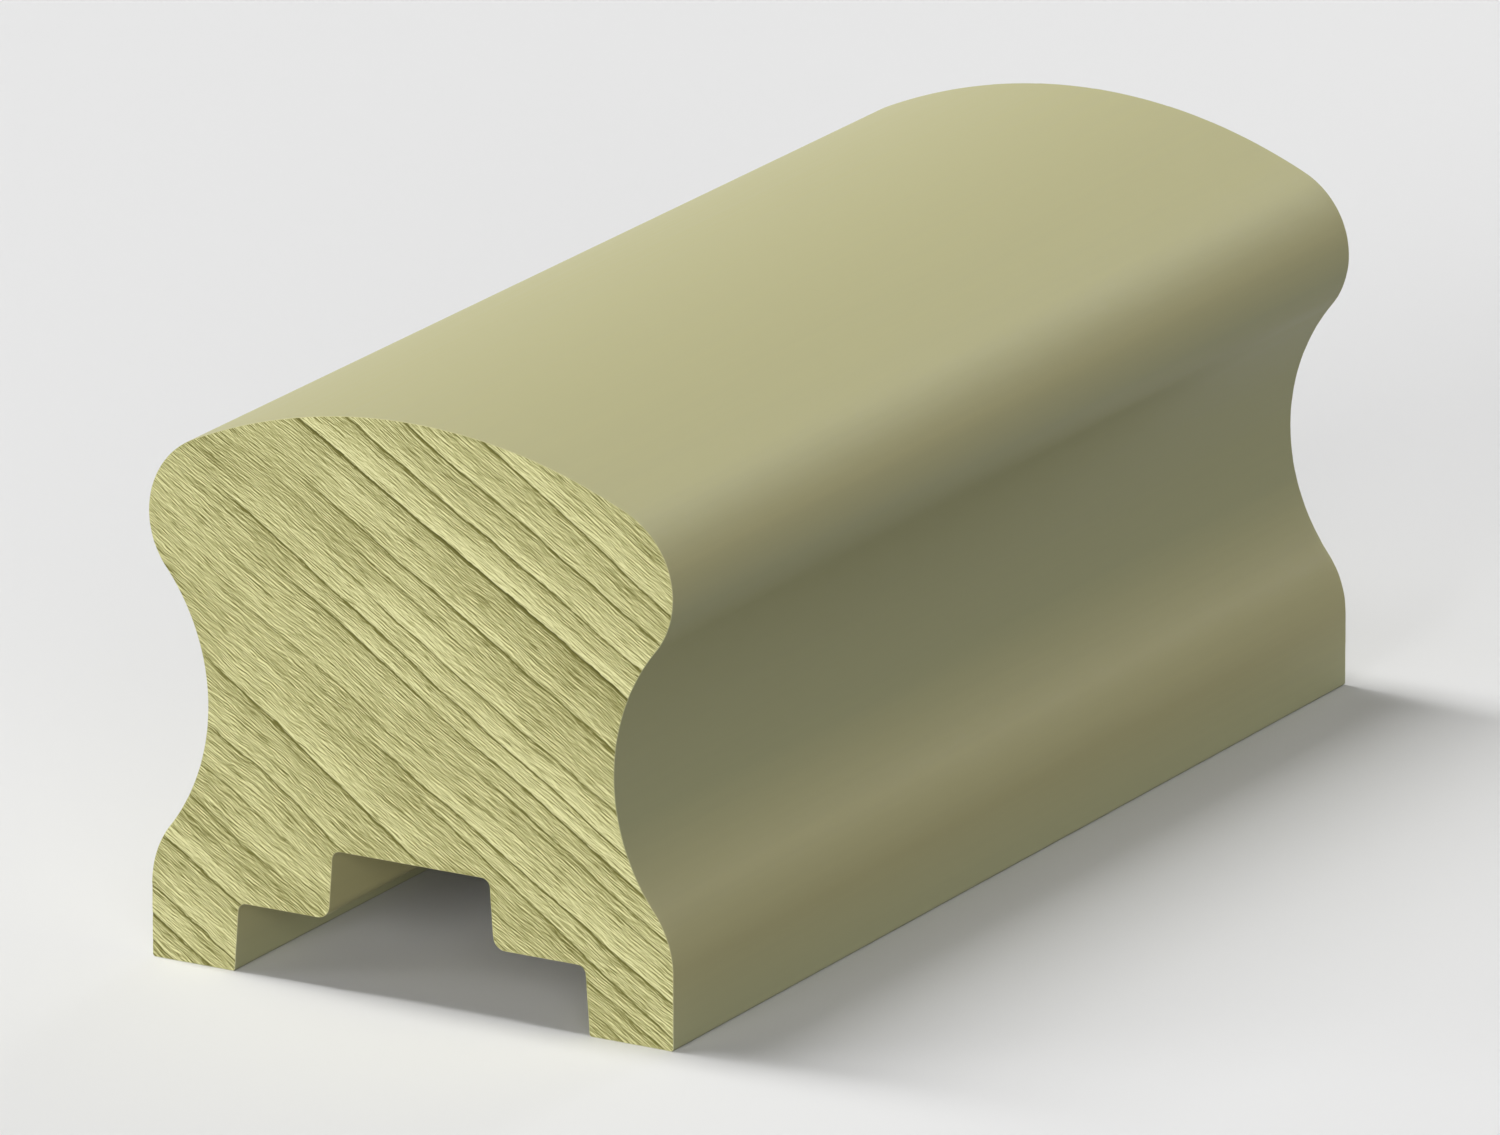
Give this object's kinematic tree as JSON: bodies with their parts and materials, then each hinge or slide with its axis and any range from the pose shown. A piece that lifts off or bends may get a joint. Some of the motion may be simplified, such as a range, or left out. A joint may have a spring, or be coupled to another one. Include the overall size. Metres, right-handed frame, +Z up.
{
  "type": "timber handrail",
  "caption": "Short length of moulded timber handrail with a rounded crown, waisted sides and a two-step rebate along the underside for balusters.",
  "frame": {"origin": "on the floor under the middle of the piece, midway between its two feet and its two ends", "axes": "+Y runs along the grain to the back end, X runs across the section from side to side, +Z runs up from the feet to the crown"},
  "size_m": [0.065, 0.15, 0.065],
  "materials": {
    "timber": "satin"
  },
  "bodies": {
    "root": {"handrail": "timber"}
  },
  "joints": []
}
